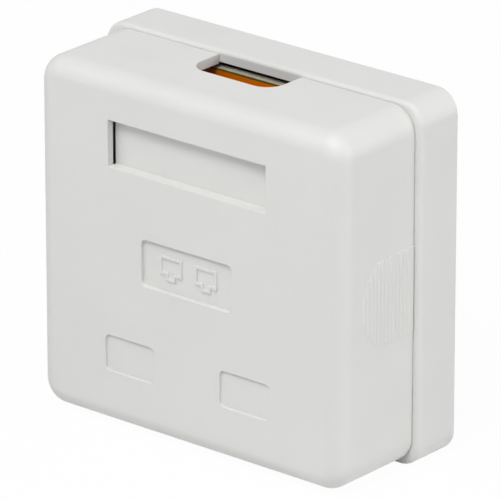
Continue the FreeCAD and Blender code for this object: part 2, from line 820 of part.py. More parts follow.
def make_jack_contact(side_name, side, index):
    """A round wire: solder tail, run along the carrier, bend at the mouth, free end in the plug space."""
    x = side * port_offset + contact_x(index, size.contact_pitch)
    body = new_body(f"jack_contact_{side_name}_{index + 1}", x, board_front, mouth_z)
    tail, corner, bend = tail_row(index), size.wire_corner, size.wire_bend
    centre_x, centre_y = -(wire_run + bend), bend_row

    # The free end leaves the bend along the tangent that passes through its tip
    to_tip_x, to_tip_y = -tip_height - centre_x, tip_row - centre_y
    reach = math.hypot(to_tip_x.value, to_tip_y.value)
    lean = math.atan2(-to_tip_y.value, -to_tip_x.value) + math.acos(bend.value / reach)
    leave = math.pi + lean
    run_x = -wire_run.value
    hub = Vector(centre_x.value, centre_y.value, 0)
    knee = Vector(run_x + corner.value, tail.value - corner.value, 0)
    tip = Vector(-tip_height.value, tip_row.value, 0)
    spring_start = hub + Vector(math.cos(leave), math.sin(leave), 0) * bend.value
    upright = Vector(0, 0, 1)

    path = new_sketch(body, "SIDE")
    path.addGeometry([
        Part.LineSegment(Vector(tail_tip.value, tail.value, 0), Vector(knee.x, tail.value, 0)),
        Part.ArcOfCircle(Part.Circle(knee, upright, corner.value), math.pi / 2, math.pi),
        Part.LineSegment(Vector(run_x, knee.y, 0), Vector(run_x, hub.y, 0)),
        Part.ArcOfCircle(Part.Circle(hub, upright, bend.value), leave, 2 * math.pi),
        Part.LineSegment(spring_start, tip),
    ])
    constrain(path, [
        ["Tangent", 0, 2, 1, 1],
        ["Tangent", 1, 2, 2, 1],
        ["Tangent", 2, 2, 3, 2],
        ["Tangent", 3, 1, 4, 1],
        ["Horizontal", 0],
        ["Vertical", 2],
        ["Radius", 1, corner],
        ["Radius", 3, bend],
        ["DistanceX", -1, 1, 2, 1, -wire_run],
        ["DistanceY", -1, 1, 3, 3, centre_y],
    ] + place(0, 1, (tail_tip, tail)) + place(4, 2, (-tip_height, tip_row)))
    section = new_sketch(body, "FRONT", -tail_tip)
    add_circle(section, (0, tail), size.wire_diameter)
    wire = body.newObject("PartDesign::AdditivePipe", "pipe")
    wire.Profile = section
    wire.Spine = (path, [])
    return finish(body)


def make_idc_block(row_name, row):
    """A punch-down block: slots for the cores from the front, pockets for the blades from the board."""
    body = new_body(f"idc_block_{row_name}", 0, board_front, row)
    outline = new_sketch(body, "FRONT")
    middle = Size.of(0)
    add_rectangle(outline, (middle, middle), idc_length, size.idc_depth)
    pad(outline, size.idc_height)
    slots = new_sketch(body, "TOP")
    pockets = new_sketch(body, "FRONT")
    play = 2 * size.blade_play
    for index in range(CONTACTS):
        x = contact_x(index, size.idc_pitch)
        right = [
            (size.slot_lead / 2, size.idc_height),
            (size.slot_width / 2, size.idc_height - size.slot_lead_depth),
            (size.slot_width / 2, size.idc_height - size.slot_depth),
        ]
        left = [(-across, up) for across, up in reversed(right)]
        add_polygon(slots, [(x + across, -up) for across, up in right + left])
        add_rectangle(pockets, (x, middle), size.blade_width + play, size.blade_thickness + play)
    pocket(slots, size.idc_depth, both_ways=True)
    pocket(pockets, blade_top + size.blade_play, reverse=True)
    return finish(body)


def make_idc_contact(row_name, row, index):
    """A flat forked blade with a slit that grips a core, and a tail through the board."""
    x = contact_x(index, size.idc_pitch)
    body = new_body(f"idc_contact_{row_name}_{index + 1}", x, board_front, row)
    outline = new_sketch(body, "TOP")
    tail, blade = size.blade_tail / 2, size.blade_width / 2
    right = [
        (tail, -tail_tip),
        (tail, size.blade_shoulder),
        (blade, size.blade_shoulder),
        (blade, blade_top),
        (size.slit_lead / 2, blade_top),
        (size.slit_width / 2, blade_top - size.slit_lead_depth),
        (size.slit_width / 2, blade_top - size.slit_depth),
    ]
    left = [(-across, up) for across, up in reversed(right)]
    add_polygon(outline, [(across, -Size.of(up)) for across, up in right + left])
    pad(outline, size.blade_thickness, both_ways=True)
    return finish(body)


def check_document():
    """Stop if a feature failed, cut or added nothing, or left a bad solid."""
    doc.recompute()
    for item in doc.Objects:
        if "Invalid" in item.State or "Error" in item.State:
            raise RuntimeError(f"{item.Label} failed: {item.State}")
        if item.TypeId == "PartDesign::Pocket" and item.Shape.Volume >= item.BaseFeature.Shape.Volume:
            raise RuntimeError(f"{item.Label} cuts nothing")
        if item.TypeId == "PartDesign::Pad" and item.BaseFeature:
            if item.Shape.Volume <= item.BaseFeature.Shape.Volume:
                raise RuntimeError(f"{item.Label} adds nothing")
    for node in parts:
        if node.Shape.isNull() or not node.Shape.isValid() or not node.Shape.Solids:
            raise RuntimeError(f"{node.Label} is not a valid solid")


def main():
    make_base()
    make_cover()
    make_label_plate()
    make_board()
    make_screws()
    for side_name, side in SIDES.items():
        make_jack_housing(side_name, side)
        make_jack_insert(side_name, side)
        for index in range(CONTACTS):
            make_jack_contact(side_name, side, index)
    for row_name, row in idc_rows.items():
        make_idc_block(row_name, row)
        for index in range(CONTACTS):
            make_idc_contact(row_name, row, index)
    check_document()
    os.makedirs("parts", exist_ok=True)
    for node in parts:
        node.Shape.exportStep(f"parts/{node.Label}.step")
        print(f"{node.Label}: {len(node.Shape.Solids)} solid, {node.Shape.Volume:.1f} mm3")


main()
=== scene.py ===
"""Looks of a surface-mounted wall box with two network sockets.

X runs to the right and Z up, seen from the front, and the front faces -Y. Lengths are in metres.
"""
import math

import bmesh
import bpy
from bpy.props import FloatProperty, FloatVectorProperty, PointerProperty
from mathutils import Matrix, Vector


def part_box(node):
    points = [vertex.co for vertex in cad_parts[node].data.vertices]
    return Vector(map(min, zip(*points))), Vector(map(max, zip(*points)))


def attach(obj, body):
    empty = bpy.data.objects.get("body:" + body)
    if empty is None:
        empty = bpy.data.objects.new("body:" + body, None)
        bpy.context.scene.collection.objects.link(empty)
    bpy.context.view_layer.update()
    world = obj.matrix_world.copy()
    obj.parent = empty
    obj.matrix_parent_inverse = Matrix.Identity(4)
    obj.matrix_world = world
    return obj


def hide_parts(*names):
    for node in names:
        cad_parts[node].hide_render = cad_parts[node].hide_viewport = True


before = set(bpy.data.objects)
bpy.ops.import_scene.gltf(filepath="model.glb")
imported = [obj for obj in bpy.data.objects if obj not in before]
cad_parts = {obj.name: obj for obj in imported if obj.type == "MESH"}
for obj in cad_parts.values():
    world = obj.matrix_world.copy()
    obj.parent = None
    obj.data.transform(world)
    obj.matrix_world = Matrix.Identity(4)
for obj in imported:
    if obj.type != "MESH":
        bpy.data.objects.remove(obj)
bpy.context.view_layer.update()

bl_info = {
    "name": "Network socket box",
    "version": (1, 0, 0),
    "blender": (4, 5, 0),
    "location": "3D View > Sidebar > Socket Box",
    "description": "Models and finishes a surface-mounted wall box with two network sockets",
    "category": "Object",
}

# Boxes of the frame's pieces at rest
cover_low, cover_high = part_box("front_cover")
base_low, base_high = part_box("base")
plate_low, plate_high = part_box("label_plate")
board_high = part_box("circuit_board")[1]
jack_low, jack_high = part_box("jack_housing_right")
screws_low, screws_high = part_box("board_screws")

# Facets of a large round, a small round, a rim and a softened edge
ROUND_STEPS = 14
SMALL_STEPS = ROUND_STEPS // 2
RIM_STEPS = ROUND_STEPS // 3
SOFT_STEPS = 2
# Profile of a bevel that gives a round
ROUND_PROFILE = 0.5
# Sides of a round rod, and of the large round that bows the front end of the grips
ROD_SIDES = 48
BOW_SIDES = 128
# Bend at which an edge counts as sharp, and up to which two faces count as one
SHARP = math.radians(38)
FLAT = math.radians(0.4)
# Distance at which points become one, and at which they count as being in one place
WELD = 2e-6
TOUCH = 1e-6
# Share of a rib's height that its sloped edges take up
RIB_SLOPE = 0.8
# Width of the softened edges of the jacks and the punch-down blocks
MOULD_EDGE = 0.0001
# Distances over which the board's border fades from its edge, its tracks begin below its top
# and a track fades from its middle line, and the distance from track to track
BORDER_FADE = (0.00034, 0.0004)
TRACKS_BEGIN = (0.0085, 0.0087)
TRACK_FADE = (0.0002, 0.00026)
TRACK_PITCH = 0.00204
# Side, grey and roughness of the floor, and the share of white that the camera sees on it
FLOOR_SIDE = 6.0
FLOOR_GREY = (0.8, 0.8, 0.8)
FLOOR_ROUGHNESS = 0.9
FLOOR_WHITE = 0.97
# Width of the camera's sensor in millimetres, and the nearest and farthest place that it sees
SENSOR_WIDTH = 36.0
NEAREST = 0.01
FARTHEST = 20.0
WHITE = (1.0, 1.0, 1.0, 1.0)
SIDES = {"left": -1, "right": 1}
ROWS = ("upper", "lower")
CONTACTS = 8
# Place and size of each soft lamp
LAMPS = {
    "key": ((0.2, -0.6, 0.68), 0.3),
    "fill": ((-0.4, -0.55, 0.7), 0.5),
    "top": ((0.15, -0.35, 0.9), 0.4),
    "side": ((0.85, 0.4, 0.35), 0.6),
}


def length(name, description, default):
    """A length that a user may change."""
    return FloatProperty(name=name, description=description, default=default, min=0.0, precision=5,
                         unit="LENGTH", subtype="DISTANCE")


def colour(name, description, default):
    """A colour that a user may change."""
    return FloatVectorProperty(name=name, description=description, default=default, size=3, min=0.0,
                               max=1.0, subtype="COLOR")


def power(name, description, default):
    """A lamp's power that a user may change."""
    return FloatProperty(name=name, description=description, default=default, min=0.0, unit="POWER")


class SocketBoxCover(bpy.types.PropertyGroup):
    """Sizes of the front cover"""

    corner: length("Corner", "Radius of the four long corners", 0.0044)
    edge: length("Front edge", "Radius of the edge round the front face", 0.0033)
    wall: length("Wall", "Thickness of the side walls", 0.0016)
    front_wall: length("Front wall", "Thickness of the front wall", 0.0013)
    inner_edge: length("Inner edge", "Radius inside, round the front wall", 0.0012)
    softness: length("Softness", "Width of the softened edges", 0.00008)
    label_overlap: length("Label overlap", "Height of the label strip hidden behind each rail", 0.0012)
    label_side: length("Label side", "Length of the label strip hidden at each end", 0.00015)
    rail: length("Rail", "Thickness of the label rails", 0.0008)
    rail_lip: length("Rail lip", "Height of the lip that holds the label strip", 0.0009)
    label_play: length("Label play", "Clearance round the label strip", 0.0001)
    panel_width: length("Panel width", "Width of the recessed panel", 0.0186)
    panel_height: length("Panel height", "Height of the recessed panel", 0.0079)
    panel_lower: length("Panel lower", "How far the panel lies below the middle", 0.0003)
    panel_depth: length("Panel depth", "Depth of the recessed panel", 0.0007)
    field_width: length("Field width", "Width of a port marker field", 0.01015)
    field_height: length("Field height", "Height of a port marker field", 0.0061)
    field_rise: length("Field rise", "Height of the marker fields above the bottom", 0.0124)
    field_depth: length("Field depth", "Depth of the marker fields", 0.00045)
    recess_corner: length("Recess corner", "Corner radius of the panel and fields", 0.0009)
    rim: length("Rim", "Radius of the rims round the window, the panel and the fields", 0.00012)
    sign_width: length("Sign width", "Width of a raised socket sign", 0.0046)
    sign_height: length("Sign height", "Height of a socket sign without its tab", 0.0032)
    sign_tab_width: length("Sign tab width", "Width of a socket sign's tab", 0.0020)
    sign_tab_height: length("Sign tab height", "Height of a socket sign's tab", 0.0009)
    sign_stroke: length("Sign stroke", "Width of a socket sign's line", 0.0005)
    sign_relief: length("Sign relief", "Height of the signs above the panel", 0.00028)
    sign_spacing: length("Sign spacing", "Distance between the two signs", 0.0072)
    grip_height: length("Grip height", "Height of the ribbed grips", 0.0145)
    grip_reach: length("Grip reach", "Length of the grips from the cover's back edge", 0.0129)
    grip_nose: length("Grip nose", "Length of the bowed front end of the grips", 0.0046)
    rib_pitch: length("Rib pitch", "Distance from rib to rib", 0.000925)
    rib_width: length("Rib width", "Width of a rib", 0.0004)
    rib_height: length("Rib height", "Height of the ribs above the side", 0.00015)
    pad_height: length("Pad height", "Height of the pad under the ribs", 0.00004)
    entry_width: length("Entry width", "Width of the cable entry", 0.0169)
    entry_depth: length("Entry depth", "Length of the cable entry from the back edge", 0.0077)
    entry_corner: length("Entry corner", "Radius of the cable entry's corners", 0.0033)
    port_clearance: length("Port clearance", "Gap between the cover and the jacks", 0.00025)
    snap_length: length("Snap length", "Length of the grooves for the snap tabs", 0.0140)
    snap_depth: length("Snap depth", "Depth of the grooves for the snap tabs", 0.00045)


class SocketBoxBase(bpy.types.PropertyGroup):
    """Sizes of the base tray"""

    depth: length("Depth", "Depth of the tray", 0.0090)
    corner: length("Corner", "Radius of the four long corners", 0.0040)
    edge: length("Edge", "Radius of the rim's outer edge", 0.00075)
    wall: length("Wall", "Thickness of the walls", 0.0020)
    floor: length("Floor", "Thickness of the floor", 0.0020)
    softness: length("Softness", "Width of the softened edges", 0.0001)
    post: length("Post", "Diameter of the posts under the board", 0.0056)
    screw_head: length("Screw head", "Diameter of the heads of the board's screws", 0.0046)
    pilot: length("Pilot", "Diameter of the screw holes in the posts", 0.0023)
    wall_hole: length("Wall hole", "Diameter of the wall screw holes", 0.0042)
    wall_hole_inset: length("Wall hole inset", "Distance of the wall screws from the side wall", 0.0046)
    wall_hole_spread: length("Wall hole spread", "Distance between upper and lower wall screws", 0.0360)
    tab: length("Tab", "Thickness of the tabs", 0.0012)
    tab_clearance: length("Tab clearance", "Gap between the tabs and the cover", 0.00015)
    snap_tab: length("Snap tab", "Length of the side tabs", 0.0140)
    top_tab: length("Top tab", "Length of the upper tabs", 0.0070)
    top_tab_inset: length("Top tab inset", "Distance of the upper tabs from the side tabs", 0.0085)
    bottom_tab: length("Bottom tab", "Length of the lower tab", 0.0050)
    bead: length("Bead", "Height of the snap beads", 0.00045)
    bead_from_tip: length("Bead from tip", "Distance of the snap beads from the tabs' tips", 0.0012)
    plug_post_rise: length("Plug post rise", "Height of the middle post above the jacks' mouths", 0.0089)


class SocketBoxFinish(bpy.types.PropertyGroup):
    """Colours of the finishes"""

    shell: colour("Shell", "Plastic of the cover and the base", (0.705, 0.705, 0.69))
    label: colour("Label", "Plastic of the label strip", (0.725, 0.725, 0.71))
    varnish: colour("Varnish", "Varnish on the faces of the board", (0.69, 0.15, 0.0))
    fibre: colour("Fibre", "Bare cut edge of the board", (0.56, 0.50, 0.40))
    border: colour("Border", "Bare border round the faces of the board", (0.15, 0.09, 0.002))
    jack: colour("Jack", "Plastic of the jacks", (0.020, 0.020, 0.022))
    block: colour("Block", "Plastic of the punch-down blocks", (0.56, 0.55, 0.50))
    gold: colour("Gold", "Plating of the jack contacts", (0.80, 0.56, 0.20))
    tin: colour("Tin", "Plating of the blades", (0.62, 0.62, 0.60))
    zinc: colour("Zinc", "Plating of the screws", (0.52, 0.53, 0.55))


class SocketBoxStage(bpy.types.PropertyGroup):
    """The camera and the light"""

    azimuth: FloatProperty(name="Azimuth", description="Turn of the camera to the right of the front",
                           default=math.radians(39.91), unit="ROTATION", subtype="ANGLE")
    elevation: FloatProperty(name="Elevation", description="Height angle of the camera",
                             default=math.radians(21.322), unit="ROTATION", subtype="ANGLE")
    distance: length("Distance", "Distance of the camera from the point it looks at", 1.0246)
    lens: FloatProperty(name="Lens", description="Focal length of the camera in millimetres",
                        default=465.4, min=1.0, unit="CAMERA")
    aim: FloatVectorProperty(name="Aim", description="Point that the camera looks at",
                             default=(0.00201, -0.014, 0.00066), size=3, unit="LENGTH",
                             subtype="TRANSLATION", precision=5)
    sky: FloatProperty(name="Sky", description="Strength of the even light from all sides",
                       default=0.21, min=0.0)
    key: power("Key", "Power of the lamp above the front, on the right", 3.64)
    fill: power("Fill", "Power of the lamp above the front, on the left", 1.74)
    top: power("Top", "Power of the lamp overhead", 2.03)
    side: power("Side", "Power of the lamp behind on the right", 4.0)


def activate(piece):
    """Make one piece the active and only selected one."""
    bpy.ops.object.select_all(action="DESELECT")
    bpy.context.view_layer.objects.active = piece
    piece.select_set(True)


def add_block(name, low, high):
    """A box between two opposite corners."""
    low, high = Vector(low), Vector(high)
    bpy.ops.object.select_all(action="DESELECT")
    bpy.ops.mesh.primitive_cube_add(size=1, location=(low + high) / 2)
    block = bpy.context.object
    block.name = name
    block.scale = high - low
    bpy.ops.object.transform_apply(location=True, rotation=True, scale=True)
    return block


def add_round(name, sides, radius, depth, middle, turn):
    """A cylinder round a place, turned from upright."""
    bpy.ops.object.select_all(action="DESELECT")
    bpy.ops.mesh.primitive_cylinder_add(vertices=sides, radius=radius, depth=depth, location=middle,
                                        rotation=turn)
    made = bpy.context.object
    made.name = name
    bpy.ops.object.transform_apply(location=True, rotation=True, scale=True)
    return made


def add_rod(name, centre, diameter, start, end):
    """A round rod along Y, between two places on that axis."""
    middle = (centre[0], (start + end) / 2, centre[1])
    return add_round(name, ROD_SIDES, diameter / 2, abs(end - start), middle, (math.pi / 2, 0, 0))


def add_ridge(name, x, y, height, half):
    """A square bar along Z that stands on its edge, as high as the given height above its middle."""
    reach = height * math.sqrt(2)
    bar = add_block(name, (-reach / 2, -reach / 2, -half), (reach / 2, reach / 2, half))
    bar.rotation_euler.z = math.pi / 4
    bar.location = (x, y, 0)
    activate(bar)
    bpy.ops.object.transform_apply(location=True, rotation=True, scale=True)
    return bar


def along(axis):
    """A test for edges that run along one axis."""
    others = [i for i in range(3) if i != axis]
    return lambda one, two: all(abs(one[i] - two[i]) < TOUCH for i in others)


def in_plane(axis, value):
    """A test for edges that lie in a plane across one axis."""
    return lambda one, two: abs(one[axis] - value) < TOUCH and abs(two[axis] - value) < TOUCH


def round_edges(piece, width, steps, chosen, clamp):
    """Round the chosen edges of a piece, and where wished, no further than their neighbours leave room."""
    activate(piece)
    bpy.ops.object.mode_set(mode="EDIT")
    bpy.ops.mesh.select_mode(type="EDGE")
    bpy.ops.mesh.select_all(action="DESELECT")
    shape = bmesh.from_edit_mesh(piece.data)
    for edge in shape.edges:
        edge.select_set(chosen(edge))
    bmesh.update_edit_mesh(piece.data)
    bpy.ops.mesh.bevel(offset=width, segments=steps, profile=ROUND_PROFILE, affect="EDGES",
                       clamp_overlap=clamp)
    bpy.ops.object.mode_set(mode="OBJECT")


def bevel_edges(piece, width, steps, test):
    """Round those sharp edges of a piece whose two ends pass the test."""
    def chosen(edge):
        one, two = edge.verts
        return edge.calc_face_angle(0.0) > SHARP and test(one.co, two.co)

    round_edges(piece, width, steps, chosen, clamp=False)


def combine(piece, tool, operation):
    """Work on a piece with a tool, which is used up."""
    modifier = piece.modifiers.new("combine", "BOOLEAN")
    modifier.object = tool
    modifier.operation = operation
    modifier.solver = "EXACT"
    activate(piece)
    bpy.ops.object.modifier_apply(modifier=modifier.name)
    bpy.data.meshes.remove(tool.data)


def cut(piece, tool):
    """Take a tool's shape out of a piece."""
    combine(piece, tool, "DIFFERENCE")


def weld(piece, tool):
    """Add a tool's shape to a piece."""
    combine(piece, tool, "UNION")


def join(pieces):
    """One piece of several that don't touch each other."""
    activate(pieces[0])
    for piece in pieces[1:]:
        piece.select_set(True)
    bpy.ops.object.join()
    return pieces[0]


def close(piece):
    """Join points that lie together and faces that lie in one plane."""
    activate(piece)
    bpy.ops.object.mode_set(mode="EDIT")
    bpy.ops.mesh.select_all(action="SELECT")
    bpy.ops.mesh.remove_doubles(threshold=WELD)
    bpy.ops.mesh.dissolve_limited(angle_limit=FLAT)
    bpy.ops.object.mode_set(mode="OBJECT")


def soften(piece, width):
    """Close the mesh and give each sharp outer edge the small round of a moulded part."""
    close(piece)
    round_edges(piece, width, SOFT_STEPS, lambda edge: edge.calc_face_angle_signed(0.0) > SHARP, clamp=True)


def smooth(piece):
    """Shade rounds smoothly and keep flat faces flat."""
    activate(piece)
    bpy.ops.object.shade_smooth_by_angle(angle=SHARP)
    modifier = piece.modifiers.new("even", "WEIGHTED_NORMAL")
    modifier.keep_sharp = True
    bpy.ops.object.modifier_apply(modifier=modifier.name)


def dress(piece, material, slot, body, *nodes):
    """Finish a piece, set it on its body and let it stand for its nodes."""
    piece.data.materials.clear()
    piece.data.materials.append(material)
    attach(piece, body)
    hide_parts(*nodes)


def soft_copy(name, node):
    """A copy of a frame's piece, with joined faces and softened edges."""
    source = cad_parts[node]
    piece = bpy.data.objects.new(name, source.data.copy())
    bpy.context.scene.collection.objects.link(piece)
    activate(piece)
    bpy.ops.mesh.customdata_custom_splitnormals_clear()
    soften(piece, MOULD_EDGE)
    smooth(piece)
    return piece


def finish_node(node, material):
    """Give a frame's piece its finish."""
    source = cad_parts[node]
    for slot in source.material_slots:
        slot.material = material


class Finish:
    """A material and the nodes that make it."""

    def __init__(self, name):
        """Start with the shader and with the piece's own coordinates."""
        self.material = bpy.data.materials.new(name)
        self.material.use_nodes = True
        self.tree = self.material.node_tree
        self.shader = self.tree.nodes["Principled BSDF"]
        self.place = self.node("ShaderNodeTexCoord").outputs["Object"]

    def node(self, kind, **settings):
        """Add a node with its settings."""
        made = self.tree.nodes.new(kind)
        for name, value in settings.items():
            setattr(made, name, value)
        return made

    def feed(self, socket, value):
        """Link a socket to another node's output, or set its value."""
        if isinstance(value, bpy.types.NodeSocket):
            self.tree.links.new(value, socket)
        else:
            socket.default_value = value

    def noise(self, scale, detail, place=None):
        """Cloudy noise on the piece's own coordinates, or on those given."""
        made = self.node("ShaderNodeTexNoise")
        self.feed(made.inputs["Vector"], place or self.place)
        self.feed(made.inputs["Scale"], scale)
        self.feed(made.inputs["Detail"], detail)
        return made.outputs["Fac"]

    def stretched(self, scale):
        """Coordinates with a scale of their own along each axis."""
        made = self.node("ShaderNodeMapping")
        self.feed(made.inputs["Vector"], self.place)
        self.feed(made.inputs["Scale"], scale)
        return made.outputs["Vector"]

    def span(self, value, source, target=(0.0, 1.0)):
        """A value moved from one range to another, and kept inside it."""
        made = self.node("ShaderNodeMapRange")
        for socket, number in zip(made.inputs, (value, *source, *target)):
            self.feed(socket, number)
        return made.outputs["Result"]

    def maths(self, operation, one, two=0.0):
        """The result of an operation on one or two values."""
        made = self.node("ShaderNodeMath", operation=operation)
        self.feed(made.inputs[0], one)
        self.feed(made.inputs[1], two)
        return made.outputs["Value"]

    def axes(self, vector):
        """The three parts of a vector, by name."""
        made = self.node("ShaderNodeSeparateXYZ")
        self.feed(made.inputs["Vector"], vector)
        return made.outputs

    def mix(self, share, one, two):
        """A colour between two others."""
        made = self.node("ShaderNodeMix", data_type="RGBA")
        self.feed(made.inputs["Factor"], share)
        for socket, value in zip([s for s in made.inputs if s.type == "RGBA"], (one, two)):
            self.feed(socket, value if isinstance(value, bpy.types.NodeSocket) else (*value, 1.0))
        return [s for s in made.outputs if s.type == "RGBA"][0]

    def bump(self, height, distance, strength, over=None):
        """A surface's direction, bent by a height, over another bump where one is given."""
        made = self.node("ShaderNodeBump")
        self.feed(made.inputs["Strength"], strength)
        self.feed(made.inputs["Distance"], distance)
        self.feed(made.inputs["Height"], height)
        if over:
            self.feed(made.inputs["Normal"], over)
        return made.outputs["Normal"]

    def surface(self, **values):
        """Set or link sockets of the shader by name."""
        for name, value in values.items():
            socket = self.shader.inputs[name.replace("_", " ")]
            if not isinstance(value, (bpy.types.NodeSocket, float)):
                value = (*value, 1.0)
            self.feed(socket, value)
        return self.material


def tinted(tint, share):
    """A colour made lighter or darker."""
    return tuple(min(channel * share, 1.0) for channel in tint)


def moulded_plastic(name, tint, rough, grain):
    """Plastic with a fine eroded grain, faint flow marks and a slightly uneven gloss."""
    finish = Finish(name)
    flow = finish.span(finish.noise(scale=70.0, detail=3.0), source=(0.3, 0.7))
    cloud = finish.mix(flow, tinted(tint, share=0.985), tinted(tint, share=1.012))
    patches = finish.noise(scale=420.0, detail=3.0)
    gloss = finish.span(patches, source=(0.25, 0.75), target=(rough - 0.05, rough + 0.06))
    waves = finish.bump(finish.noise(scale=110.0, detail=1.0), distance=0.00006, strength=0.25)
    pits = finish.bump(finish.noise(scale=5200.0, detail=2.0), distance=grain, strength=0.35, over=waves)
    return finish.surface(Base_Color=cloud, Roughness=gloss, Normal=pits)


def plated_metal(name, tint, rough, grain):
    """Plated metal with fine drawn lines and dull spots."""
    finish = Finish(name)
    spots = finish.span(finish.noise(scale=1500.0, detail=3.0), source=(0.35, 0.75))
    cloud = finish.mix(spots, tint, tinted(tint, share=0.82))
    lines = finish.noise(scale=900.0, detail=2.0, place=finish.stretched((1.0, 12.0, 1.0)))
    gloss = finish.span(lines, source=(0.25, 0.75), target=(rough - 0.06, rough + 0.1))
    scores = finish.bump(lines, distance=grain, strength=0.3)
    return finish.surface(Base_Color=cloud, Metallic=1.0, Roughness=gloss, Normal=scores)


def board_laminate(name, colours):
    """Varnished faces over copper tracks, a bare border and a rough cut edge of bare fibre."""
    finish = Finish(name)
    facing = finish.axes(finish.node("ShaderNodeNewGeometry").outputs["Normal"])
    where = finish.axes(finish.place)
    is_face = finish.span(finish.maths("ABSOLUTE", facing["Y"]), source=(0.5, 0.7))
    to_side = finish.maths("SUBTRACT", board_high.x, finish.maths("ABSOLUTE", where["X"]))
    to_top = finish.maths("SUBTRACT", board_high.z, where["Z"])
    to_edge = finish.maths("MINIMUM", to_side, to_top)
    is_border = finish.span(to_edge, source=BORDER_FADE, target=(1.0, 0.0))
    from_track = finish.maths("PINGPONG", where["X"], TRACK_PITCH / 2)
    on_line = finish.span(from_track, source=TRACK_FADE, target=(1.0, 0.0))
    is_track = finish.maths("MULTIPLY", on_line, finish.span(to_top, source=TRACKS_BEGIN))

    threads = finish.noise(scale=2600.0, detail=3.0, place=finish.stretched((0.35, 1.0, 1.0)))
    weave = finish.span(threads, source=(0.3, 0.7))
    bare = finish.mix(weave, tinted(colours.fibre, share=0.6), colours.fibre)
    pools = finish.span(finish.noise(scale=160.0, detail=3.0), source=(0.3, 0.7))
    coat = finish.mix(pools, tinted(colours.varnish, share=0.88), colours.varnish)
    coat = finish.mix(is_track, coat, tinted(colours.varnish, share=1.3))
    face = finish.mix(is_border, coat, colours.border)
    cloud = finish.mix(is_face, bare, face)
    gloss = finish.span(is_face, source=(0.0, 1.0), target=(0.85, 0.28))
    raised = finish.bump(is_track, distance=0.00003, strength=0.6)
    depth = finish.span(is_face, source=(0.0, 1.0), target=(0.6, 0.05))
    rough_cut = finish.bump(threads, distance=0.00008, strength=depth, over=raised)
    return finish.surface(Base_Color=cloud, Roughness=gloss, Normal=rough_cut)


def model_cover(sizes):
    """The cover: a rounded shell, hollow from behind, with its openings and recesses."""
    half = cover_high.x - sizes.rib_height
    front, back, bottom, top = cover_low.y, cover_high.y, cover_low.z, cover_high.z
    past = sizes.corner
    shell = add_block("cover_shell", (-half, front, bottom), (half, back, top))
    bevel_edges(shell, sizes.corner, ROUND_STEPS, along(1))
    bevel_edges(shell, sizes.edge, ROUND_STEPS, in_plane(1, front))

    inner_front = front + sizes.front_wall
    hollow = add_block("hollow", (sizes.wall - half, inner_front, bottom + sizes.wall),
                       (half - sizes.wall, back + past, top - sizes.wall))
    bevel_edges(hollow, sizes.corner - sizes.wall, ROUND_STEPS, along(1))
    bevel_edges(hollow, sizes.inner_edge, SMALL_STEPS, in_plane(1, inner_front))
    cut(shell, hollow)

    add_rails(shell, sizes)
    cut_window(shell, sizes)
    cut_recesses(shell, sizes)
    round_rims(shell, sizes)
    add_signs(shell, sizes)
    cut_entry_and_ports(shell, sizes)
    soften(shell, sizes.softness)
    add_grips(shell, sizes, half)
    close(shell)
    smooth(shell)
    return shell


def window_edges(sizes):
    """Half the window's width and its lower and upper edge."""
    hidden = sizes.label_overlap
    return plate_high.x - sizes.label_side, plate_low.z + hidden, plate_high.z - hidden


def add_rails(shell, sizes):
    """Two channels behind the window, each a ledge, a wall and a lip round the label strip."""
    half, low, high = window_edges(sizes)
    inside = cover_low.y + sizes.front_wall / 2
    seat, behind = plate_low.y, plate_high.y + sizes.label_play
    end = behind + sizes.rail
    for edge, side in ((low, -1), (high, 1)):
        groove = edge + side * (sizes.label_overlap + sizes.label_play)
        outside = groove + side * sizes.rail
        for near, far, start, stop in (
            (edge, outside, inside, seat),
            (groove, outside, inside, end),
            (groove - side * sizes.rail_lip, outside, behind, end),
        ):
            bar = add_block("rail", (-half, start, min(near, far)), (half, stop, max(near, far)))
            weld(shell, bar)


def cut_window(shell, sizes):
    """The opening in front of the label strip."""
    half, low, high = window_edges(sizes)
    past = sizes.front_wall
    cut(shell, add_block("window", (-half, cover_low.y - past, low), (half, plate_low.y + TOUCH, high)))


def add_recess(width, height, x, z, depth, corner):
    """A tool that leaves a shallow recess with round corners in the front face."""
    front = cover_low.y
    tool = add_block("recess", (x - width / 2, front - depth, z - height / 2),
                     (x + width / 2, front + depth, z + height / 2))
    bevel_edges(tool, corner, SMALL_STEPS, along(1))
    return tool


def cut_recesses(shell, sizes):
    """The panel in the middle, and the marker field over each port."""
    cut(shell, add_recess(sizes.panel_width, sizes.panel_height, 0.0, -sizes.panel_lower, sizes.panel_depth,
                          sizes.recess_corner))
    port = (jack_low.x + jack_high.x) / 2
    field_z = cover_low.z + sizes.field_rise
    for side in SIDES.values():
        cut(shell, add_recess(sizes.field_width, sizes.field_height, side * port, field_z, sizes.field_depth,
                              sizes.recess_corner))


def round_rims(shell, sizes):
    """Round the front face's sharp edges, which lie round the window and the recesses."""
    bevel_edges(shell, sizes.rim, RIM_STEPS, in_plane(1, cover_low.y))


def add_signs(shell, sizes):
    """Two socket signs side by side on the panel."""
    for side in SIDES.values():
        weld(shell, add_sign(sizes, side * sizes.sign_spacing / 2))


